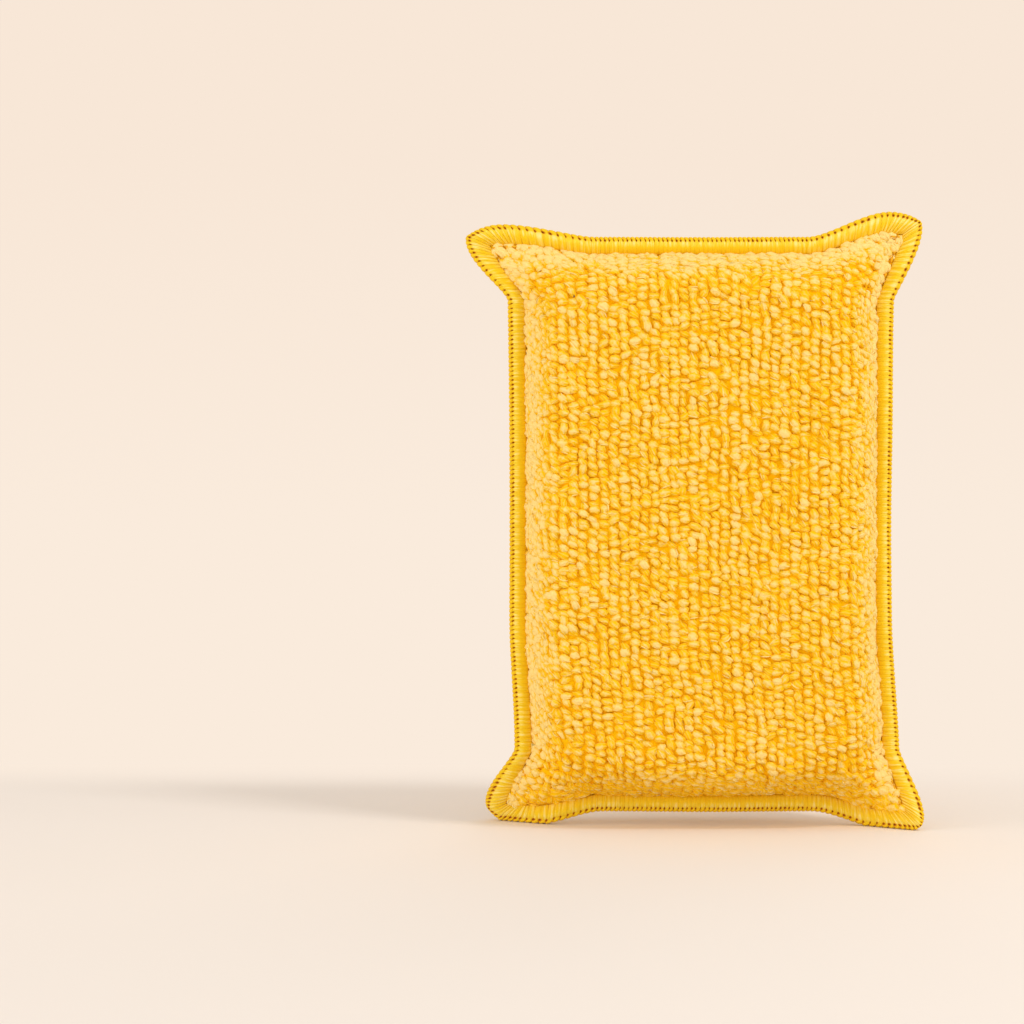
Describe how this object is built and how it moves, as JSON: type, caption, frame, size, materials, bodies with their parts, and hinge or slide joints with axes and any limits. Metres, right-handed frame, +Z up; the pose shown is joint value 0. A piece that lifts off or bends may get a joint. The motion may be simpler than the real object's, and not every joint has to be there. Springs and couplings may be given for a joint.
{
  "type": "cleaning sponge",
  "caption": "Rectangular cleaning sponge: a foam core between two looped terry covers, overlocked all round, with a flared ear at each corner on which it stands upright",
  "frame": {"origin": "middle of the bounding box's bottom, on the surface that the two lower ears stand on", "axes": "+Z is up along the sponge's height, +X is to the right across its width as seen from the front, and +Y runs through its thickness to the back"},
  "size_m": [0.1003, 0.0294, 0.1351],
  "materials": {
    "terry": "looped terry, matt, warm yellow",
    "looper_thread": "bulked polyester thread, dense satin ribs, deep yellow",
    "needle_thread": "spun polyester thread, deep yellow",
    "foam": "open cell polyurethane foam, matt, pale yellow"
  },
  "bodies": {
    "root": {"foam_core": "foam", "front_cover": "terry", "back_cover": "terry", "needle_thread": "needle_thread", "front_looper_thread": "looper_thread", "back_looper_thread": "looper_thread"}
  },
  "joints": []
}
